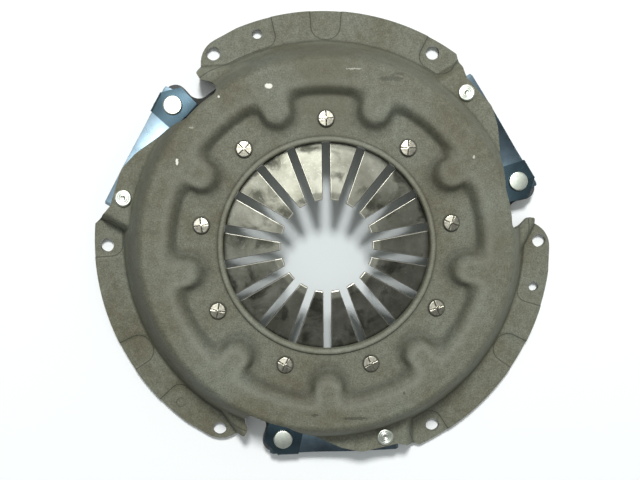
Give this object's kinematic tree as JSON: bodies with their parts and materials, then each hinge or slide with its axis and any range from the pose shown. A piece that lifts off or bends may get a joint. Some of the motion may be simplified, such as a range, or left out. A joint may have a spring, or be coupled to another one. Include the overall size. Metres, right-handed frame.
{
  "type": "clutch pressure plate",
  "caption": "Diaphragm-spring clutch pressure plate: a pressed cover bolts to the flywheel and a cast plate clamps the clutch disc until the fingers are pushed in.",
  "frame": {"origin": "centre of the six-bolt circle, on the flange's face that sits on the flywheel", "axes": "+Z towards the gearbox along the clutch's axis, +X through one bolt hole"},
  "size_m": [0.3051, 0.2957, 0.041],
  "materials": {
    "phosphated_steel": "olive-grey phosphate on pressed steel, matt",
    "spring_steel": "oiled spring steel, mottled and lightly scratched",
    "ring_wire": "drawn wire",
    "plated_rivet": "bright plated steel",
    "grey_iron": "machined grey iron, dark on the back",
    "blued_steel": "dark blue tempered steel"
  },
  "bodies": {
    "cover": {"clutch_cover": "phosphated_steel", "balance_plug": "phosphated_steel", "upper_fulcrum_ring": "ring_wire", "lower_fulcrum_ring": "ring_wire", "fulcrum_rivets": "plated_rivet", "strap_cover_rivets": "plated_rivet"},
    "pressure_plate": {"pressure_plate": "grey_iron", "lug_rivets": "plated_rivet", "retracting_clip_a": "blued_steel", "retracting_clip_b": "blued_steel", "retracting_clip_c": "blued_steel", "drive_strap_a_leaf_1": "blued_steel", "drive_strap_a_leaf_2": "blued_steel", "drive_strap_a_leaf_3": "blued_steel", "drive_strap_b_leaf_1": "blued_steel", "drive_strap_b_leaf_2": "blued_steel", "drive_strap_b_leaf_3": "blued_steel", "drive_strap_c_leaf_1": "blued_steel", "drive_strap_c_leaf_2": "blued_steel", "drive_strap_c_leaf_3": "blued_steel"},
    "diaphragm": {"diaphragm_spring": "spring_steel"}
  },
  "joints": [
    {"name": "plate_lift", "type": "slide", "parent": "cover", "child": "pressure_plate", "axis": [0, 0, 1], "range_m": [0, 0.004], "stiffness_N_per_m": 50000, "springref_m": -0.004, "deforming": ["drive_strap_a_leaf_1", "drive_strap_a_leaf_2", "drive_strap_a_leaf_3", "drive_strap_b_leaf_1", "drive_strap_b_leaf_2", "drive_strap_b_leaf_3", "drive_strap_c_leaf_1", "drive_strap_c_leaf_2", "drive_strap_c_leaf_3"]},
    {"name": "finger_travel", "type": "slide", "parent": "cover", "child": "diaphragm", "axis": [0, 0, -1], "range_m": [0, 0.0112], "deforming": ["diaphragm_spring"]}
  ],
  "couplings": [
    {"joint": "finger_travel", "follows": "plate_lift", "ratio": 2.786}
  ]
}
